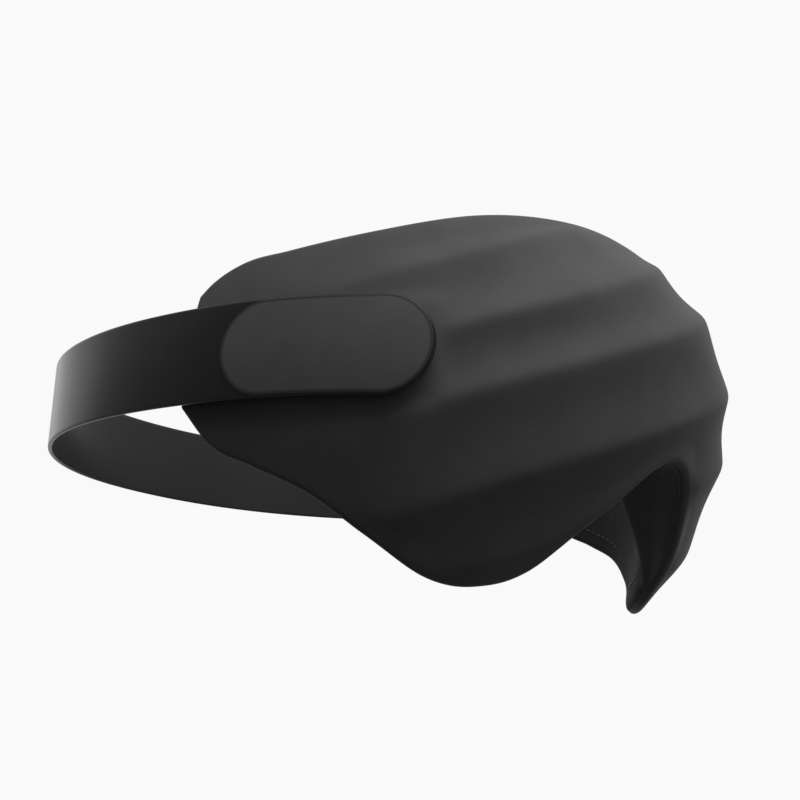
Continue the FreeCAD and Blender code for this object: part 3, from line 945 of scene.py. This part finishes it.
# %% The tree that repeats a shape
def grow_tree(name, shape, material):
    """Geometry Nodes tree that puts a shape on each point, turned along the point's direction."""
    tree = bpy.data.node_groups.new(name, "GeometryNodeTree")
    for label, way, kind in (("Points", "INPUT", "Geometry"), ("Size", "INPUT", "Float"),
                             ("Spin", "INPUT", "Float"), ("Field", "OUTPUT", "Geometry")):
        tree.interface.new_socket(label, in_out=way, socket_type="NodeSocket" + kind)
    start, stop = add_node(tree, "NodeGroupInput"), add_node(tree, "NodeGroupOutput")
    info = add_node(tree, "GeometryNodeObjectInfo", {"Object": shape})
    up, ahead = [add_node(tree, "GeometryNodeInputNamedAttribute", {"Name": mark}, data_type="FLOAT_VECTOR")
                 for mark in ("grows", "runs")]
    turn = add_node(tree, "FunctionNodeAxesToRotation", primary_axis="Z", secondary_axis="X")
    chance = add_node(tree, "FunctionNodeRandomValue", {"Seed": 7}, data_type="FLOAT")
    centred = add_node(tree, "ShaderNodeMath", {1: 0.5}, operation="SUBTRACT")
    swing = add_node(tree, "ShaderNodeMath", operation="MULTIPLY")
    spun = add_node(tree, "FunctionNodeAxisAngleToRotation", {"Axis": (0, 0, 1)})
    both = add_node(tree, "FunctionNodeRotateRotation", rotation_space="LOCAL")
    points = add_node(tree, "GeometryNodeMeshToPoints")
    place = add_node(tree, "GeometryNodeInstanceOnPoints")
    real = add_node(tree, "GeometryNodeRealizeInstances")
    colour = add_node(tree, "GeometryNodeSetMaterial", {"Material": material})
    link_all(tree, (start, "Points", points, "Mesh"), (points, "Points", place, "Points"),
             (info, "Geometry", place, "Instance"), (up, "Attribute", turn, "Primary Axis"),
             (ahead, "Attribute", turn, "Secondary Axis"), (chance, "Value", centred, 0),
             (centred, 0, swing, 0), (start, "Spin", swing, 1), (swing, 0, spun, "Angle"),
             (turn, "Rotation", both, "Rotation"), (spun, "Rotation", both, "Rotate By"),
             (both, "Rotation", place, "Rotation"), (start, "Size", place, "Scale"),
             (place, "Instances", real, "Geometry"), (real, "Geometry", colour, "Geometry"),
             (colour, "Geometry", stop, "Field"))
    return tree


HOOK_TREE = grow_tree("hook_field", HOOK, HOOKS)
LOOP_TREE = grow_tree("loop_field", LOOP, LOOPS)
STITCH_TREE = grow_tree("stitch_row", STITCH, THREAD)
print("trees:", [tree.name for tree in (HOOK_TREE, LOOP_TREE, STITCH_TREE)])

# %% A tree run on points
def grown_field(name, tree, places, grows, runs, size, spin):
    """Run a tree on points, and keep the result as a plain mesh."""
    mesh = bpy.data.meshes.new(name + "_points")
    mesh.from_pydata((np.asarray(places) * MM).tolist(), [], [])
    for label, vectors in (("grows", grows), ("runs", runs)):
        layer = mesh.attributes.new(label, "FLOAT_VECTOR", "POINT")
        layer.data.foreach_set("vector", np.asarray(vectors, dtype=np.float32).ravel())
    carrier = bpy.data.objects.new(name + "_carrier", mesh)
    bpy.context.scene.collection.objects.link(carrier)
    modifier = carrier.modifiers.new("grow", "NODES")
    modifier.node_group = tree
    for item in tree.interface.items_tree:
        if item.item_type == "SOCKET" and item.in_out == "INPUT" and item.name in ("Size", "Spin"):
            modifier[item.identifier] = size if item.name == "Size" else spin
    bpy.context.view_layer.update()
    graph = bpy.context.evaluated_depsgraph_get()
    result = bpy.data.meshes.new_from_object(carrier.evaluated_get(graph))
    bpy.data.objects.remove(carrier)
    bpy.data.meshes.remove(mesh)
    result.name = name
    piece = bpy.data.objects.new(name, result)
    bpy.context.scene.collection.objects.link(piece)
    return piece


def strip_places(side, front, rear, half_width, pitch, offset, round_front=True):
    """Even rows of places on a strip, with the outward normal and the direction round the head."""
    distance = np.arange(front + pitch / 2, rear - pitch / 3, pitch)
    height = np.arange(-half_width + pitch / 2, half_width, pitch)
    distance, height = np.meshgrid(distance, height, indexing="ij")
    distance = distance + pitch / 4 * (-1.0) ** np.arange(distance.shape[1])[None, :]
    inside = np.ones(distance.shape, bool)
    if round_front:
        centre = front + half_width
        inside = (distance > centre) | (np.hypot(distance - centre, height) < half_width - pitch / 3)
    station = station_at(side * distance[inside])
    height = height[inside]
    normal = outward(strap_form, station, height)
    ahead = unit(strap_form(station + PROBE, height) - strap_form(station - PROBE, height))
    return strap_form(station, height) + normal * offset, normal, ahead


PAD_HALF_WIDTH = STRAP_WIDTH / 2 - PAD_MARGIN
FIELD_MARGIN = 0.5
LOOP_PITCH = 1.15
HOOK_PITCH = 1.35
print("loops at the front of a pad:", len(strip_places(1, GIRTH_AT_TAB, GIRTH_AT_TAB + PAD_HALF_WIDTH,
                                                        PAD_HALF_WIDTH, LOOP_PITCH, 0.0)[0]))

# %% Rows of stitches
STITCH_PITCH = 2.9
STITCH_INSET = 1.1
STITCH_LIFT = 0.1
STITCH_SPIN = 0.12
AHEAD_PROBE = 0.5
TURN_STEPS = 40
LINE_STEPS = 400


def sewn_row(name, place, station, height, way=1):
    """Even stitches along a line on a surface given as a function of station and height.

    They stand away from the head, or with way -1 toward it.
    """
    points = place(station, height)
    travelled = np.concatenate([[0.0], np.cumsum(np.linalg.norm(np.diff(points, axis=0), axis=-1))])
    count = round(travelled[-1] / STITCH_PITCH)
    stops = (np.arange(count) + 0.5) * travelled[-1] / count
    station = np.interp(stops, travelled, station)
    height = np.interp(stops, travelled, height)
    centre, beyond = [np.stack([np.interp(line, travelled, points[:, axis]) for axis in range(3)], axis=-1)
                      for line in (stops, stops + AHEAD_PROBE)]
    grows = way * outward(place, station, height)
    return grown_field(name, STITCH_TREE, centre, grows, beyond - centre, 1.0, STITCH_SPIN)


def pad_outline(side, front, rear, half_width):
    """Line round a pad with a half round front, inset for its stitches."""
    front, rear, half_width = front + STITCH_INSET, rear - STITCH_INSET, half_width - STITCH_INSET
    turn = np.linspace(-math.pi / 2, math.pi / 2, TURN_STEPS)
    distance = np.concatenate([[rear], front + half_width * (1 - np.cos(turn)), [rear]])
    height = np.concatenate([[-half_width], half_width * np.sin(turn), [half_width]])
    fine = np.linspace(0, len(distance) - 1, LINE_STEPS)
    order = np.arange(len(distance))
    return station_at(side * np.interp(fine, order, distance)), np.interp(fine, order, height)


def loop_tape_face(station, height):
    """Outer face of the loop tape, where its stitches lie."""
    return strap_point(station, height, 0 * station + LOOP_PAD_TOP + STITCH_LIFT)


print("stitches: one every %.1f mm" % STITCH_PITCH)

# %% Hook and loop on both sides
PAD_REAR_MARGIN = 1.0
LOOP_PAD_EXTRA = 2.0
PAD_COLUMNS = 61
HOOK_STRIP_COLUMNS = 11
PAD_ROWS = 21
LOOP_TAPE_EDGE = 0.3
HOOK_TAPE_EDGE = 0.25
LOOP_SIZE = 0.9
LOOP_SPIN = 6.0
HOOK_SIZE = 0.8
HOOK_SPIN = 0.4

for name, side in SIDES:
    loop_front = GIRTH_AT_TAB + PAD_MARGIN
    loop_rear = GIRTH_AT_WING - PAD_REAR_MARGIN
    shape = strip_grid(loop_front, loop_rear, PAD_HALF_WIDTH, PAD_COLUMNS, PAD_ROWS)
    tape = laid_strip("loop_tape_" + name, side, shape, LAYER_GAP, LOOP_PAD_TOP, LOOP_TAPE_EDGE)
    finish_piece(tape, LOOPS, "mask")
    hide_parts("loop_pad_" + name)
    places, normal, ahead = strip_places(side, loop_front, loop_rear, PAD_HALF_WIDTH - FIELD_MARGIN,
                                         LOOP_PITCH, LOOP_PAD_TOP)
    field = grown_field("loop_pile_" + name, LOOP_TREE, places, normal, ahead, LOOP_SIZE, LOOP_SPIN)
    finish_piece(field, LOOPS, "mask")

    row = sewn_row("loop_tape_stitches_" + name, loop_tape_face,
                   *pad_outline(side, loop_front, loop_rear, PAD_HALF_WIDTH))
    finish_piece(row, THREAD, "mask")

    hook_front = loop_front + LOOP_PAD_EXTRA
    for part, front, rear, rounded, body in (
            ("pad", hook_front, GIRTH_AT_PEEL - PAD_REAR_MARGIN, True, "tab_" + name),
            ("strip", GIRTH_AT_PEEL + PAD_REAR_MARGIN, loop_rear, False, "mask")):
        columns = PAD_COLUMNS if rounded else HOOK_STRIP_COLUMNS
        shape = strip_grid(front, rear, PAD_HALF_WIDTH, columns, PAD_ROWS, rounded)
        tape = laid_strip("hook_tape_%s_%s" % (part, name), side, shape, HOOK_PAD_BASE, HOOK_PAD_TOP,
                          HOOK_TAPE_EDGE)
        finish_piece(tape, HOOKS, body)
        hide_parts("hook_%s_%s" % (part, name))
        places, normal, ahead = strip_places(side, front, rear, PAD_HALF_WIDTH - FIELD_MARGIN,
                                             HOOK_PITCH, HOOK_PAD_BASE, rounded)
        field = grown_field("hooks_%s_%s" % (part, name), HOOK_TREE, places, -normal, ahead,
                            HOOK_SIZE, HOOK_SPIN)
        finish_piece(field, HOOKS, body)

# %% [markdown]
# ## The seam round the face side
# The lining is sewn to the cover a few millimetres inside the edge. The row of stitches follows the
# outline at that distance, and the same stitch tree is used as on the pads, turned toward the face.

# %% Seam round the face side
SEAM_INSET = 4.2
SEAM_STEPS = 600


def seam_line():
    """Stations and heights along the seam: below, up one wing, back above and down the other."""
    last = float(station_at(GIRTH_AT_WING - SEAM_INSET))
    across = np.linspace(-last, last, SEAM_STEPS)
    low = bottom_edge(across) + SEAM_INSET * np.hypot(1, steepness(bottom_edge, across))
    high = top_edge(across) - SEAM_INSET * np.hypot(1, steepness(top_edge, across))
    share = np.linspace(0, 1, TURN_STEPS)[1:-1]
    station = np.concatenate([across, 0 * share + last, across[::-1], 0 * share - last, across[:1]])
    height = np.concatenate([low, low[-1] + (high[-1] - low[-1]) * share, high[::-1],
                             high[0] + (low[0] - high[0]) * share, low[:1]])
    return station, height


def face_surface(station, height):
    """The face side, where the seam's stitches lie."""
    return mask_point(station, height, face_side(station, height) + STITCH_LIFT)


seam = sewn_row("face_seam_stitches", face_surface, *seam_line(), way=-1)
finish_piece(seam, THREAD, "mask")

# %% [markdown]
# ## Floor and light
# The mask hangs in the air as on a head, over a plain pale floor that fades out at its rim. The world is
# pale where it is seen or mirrored, which gives the strap its bright edge at a low angle, but it sends
# hardly any light. That comes from large soft lamps: two strong ones high in front and at the wearer's
# right, so the form is read from how the dark cloth turns away from them, and weaker ones elsewhere.

# %% Floor
FLOOR_LEVEL = -0.6
FLOOR_REACH = 1.1
FLOOR_FADE = 0.5


def pale_floor():
    """Floor that keeps shadows, sends back little light and is gone at its rim."""
    mesh = bpy.data.meshes.new("floor")
    corners = [(x * FLOOR_REACH, y * FLOOR_REACH, FLOOR_LEVEL) for x, y in ((-1, -1), (1, -1), (1, 1), (-1, 1))]
    mesh.from_pydata(corners, [], [(0, 1, 2, 3)])
    floor = bpy.data.objects.new("floor", mesh)
    bpy.context.scene.collection.objects.link(floor)
    material, tree, shader = new_material("floor_paint", (0.78, 0.79, 0.8), 0.9)
    dim = add_node(tree, "ShaderNodeBsdfDiffuse", {"Color": (0.12, 0.12, 0.12, 1)})
    ray = add_node(tree, "ShaderNodeLightPath")
    bounced, faded = add_node(tree, "ShaderNodeMixShader"), add_node(tree, "ShaderNodeMixShader")
    place = add_node(tree, "ShaderNodeTexCoord")
    far = add_node(tree, "ShaderNodeVectorMath", operation="LENGTH")
    thin = add_node(tree, "ShaderNodeMapRange", interpolation_type="SMOOTHSTEP")
    thin.inputs["From Min"].default_value = FLOOR_FADE
    thin.inputs["From Max"].default_value = FLOOR_REACH
    clear = add_node(tree, "ShaderNodeBsdfTransparent")
    link_all(tree, (ray, "Is Diffuse Ray", bounced, "Fac"), (shader, "BSDF", bounced, 1),
             (dim, "BSDF", bounced, 2), (place, "Object", far, 0), (far, "Value", thin, "Value"),
             (thin, "Result", faded, "Fac"), (bounced, 0, faded, 1), (clear, "BSDF", faded, 2),
             (faded, 0, tree.nodes["Material Output"], "Surface"))
    mesh.materials.append(material)
    print("floor at %.2f m" % FLOOR_LEVEL)


pale_floor()

# %% Surroundings
SEEN_GREY = 0.95
WORLD_LIGHT = 0.05


def surroundings():
    """World that is pale to the camera and to gloss, and nearly dark as a light."""
    world = bpy.data.worlds.new("studio")
    bpy.context.scene.world = world
    world.use_nodes = True
    tree = world.node_tree
    tree.nodes.clear()
    seen = add_node(tree, "ShaderNodeBackground", {"Color": (SEEN_GREY, SEEN_GREY, SEEN_GREY, 1)})
    light = add_node(tree, "ShaderNodeBackground", {"Color": (1, 1, 1, 1), "Strength": WORLD_LIGHT})
    ray = add_node(tree, "ShaderNodeLightPath")
    either = add_node(tree, "ShaderNodeMath", operation="MAXIMUM")
    mix = add_node(tree, "ShaderNodeMixShader")
    out = add_node(tree, "ShaderNodeOutputWorld")
    link_all(tree, (ray, "Is Camera Ray", either, 0), (ray, "Is Glossy Ray", either, 1),
             (either, 0, mix, "Fac"), (light, 0, mix, 1), (seen, 0, mix, 2), (mix, 0, out, "Surface"))
    print("world:", world.name)


surroundings()

# %% Lamps
def direction(azimuth, elevation):
    """Unit vector from the object toward a lamp or camera at this azimuth and elevation."""
    turn, lift = math.radians(azimuth), math.radians(elevation)
    return Vector((math.sin(turn) * math.cos(lift), -math.cos(turn) * math.cos(lift), math.sin(lift)))


def soft_lamp(name, place, aim, size, power):
    """Square lamp that points at its aim."""
    data = bpy.data.lights.new(name, "AREA")
    data.size = size
    data.energy = power
    lamp = bpy.data.objects.new(name, data)
    bpy.context.scene.collection.objects.link(lamp)
    lamp.location = place
    lamp.rotation_euler = (Vector(aim) - Vector(place)).to_track_quat("-Z", "Y").to_euler()


LAMP_DISTANCE = 1.2
LAMP_SIZE = 0.8
LAMP_AIM = Vector((0, -0.03, 0))
LAMPS = (("front_key", 0, 60, 9.4), ("side_key", -50, 60, 10.4), ("overhead", 0, 89, 2.4),
         ("front_fill", -15, 20, 2.3), ("low_fill", -5, -30, 0.75), ("rear_rim", 180, 15, 1.2))
for name, azimuth, elevation, power in LAMPS:
    lamp_place = LAMP_AIM + direction(azimuth, elevation) * LAMP_DISTANCE
    soft_lamp(name, lamp_place, LAMP_AIM, LAMP_SIZE, power)
print("lamps:", [name for name, *_ in LAMPS])

# %% [markdown]
# ## Camera
# The camera looks up a little from in front of the wearer's right temple, with a lens a bit longer than
# normal, so that near and far parts keep the sizes they have to the eye.

# %% Camera
VIEW_AZIMUTH = -49.8
VIEW_ELEVATION = -10.9
VIEW_DISTANCE = 0.431
VIEW_CENTRE = Vector((0, 0, -STRAP_WIDTH / 2 * MM))
LOOK_YAW = -50.7
LOOK_PITCH = -13.8
LOOK_ROLL = 3.0
LENS = 64.0


def place_camera():
    """Camera at its place, looking along the yaw and pitch and tilted by the roll."""
    data = bpy.data.cameras.new("camera")
    data.lens = LENS
    data.sensor_width = 36.0
    data.clip_start = 0.01
    camera = bpy.data.objects.new("camera", data)
    bpy.context.scene.collection.objects.link(camera)
    back = direction(LOOK_YAW, LOOK_PITCH)
    right = direction(LOOK_YAW + 90, 0)
    up = back.cross(right)
    roll = math.radians(LOOK_ROLL)
    across = right * math.cos(roll) + up * math.sin(roll)
    upward = up * math.cos(roll) - right * math.sin(roll)
    turned = Matrix((across, upward, back)).transposed().to_4x4()
    place = VIEW_CENTRE + direction(VIEW_AZIMUTH, VIEW_ELEVATION) * VIEW_DISTANCE
    camera.matrix_world = Matrix.Translation(place) @ turned
    bpy.context.scene.camera = camera
    print("camera at", tuple(round(value, 3) for value in place))


place_camera()
bpy.context.scene.view_settings.view_transform = "Standard"
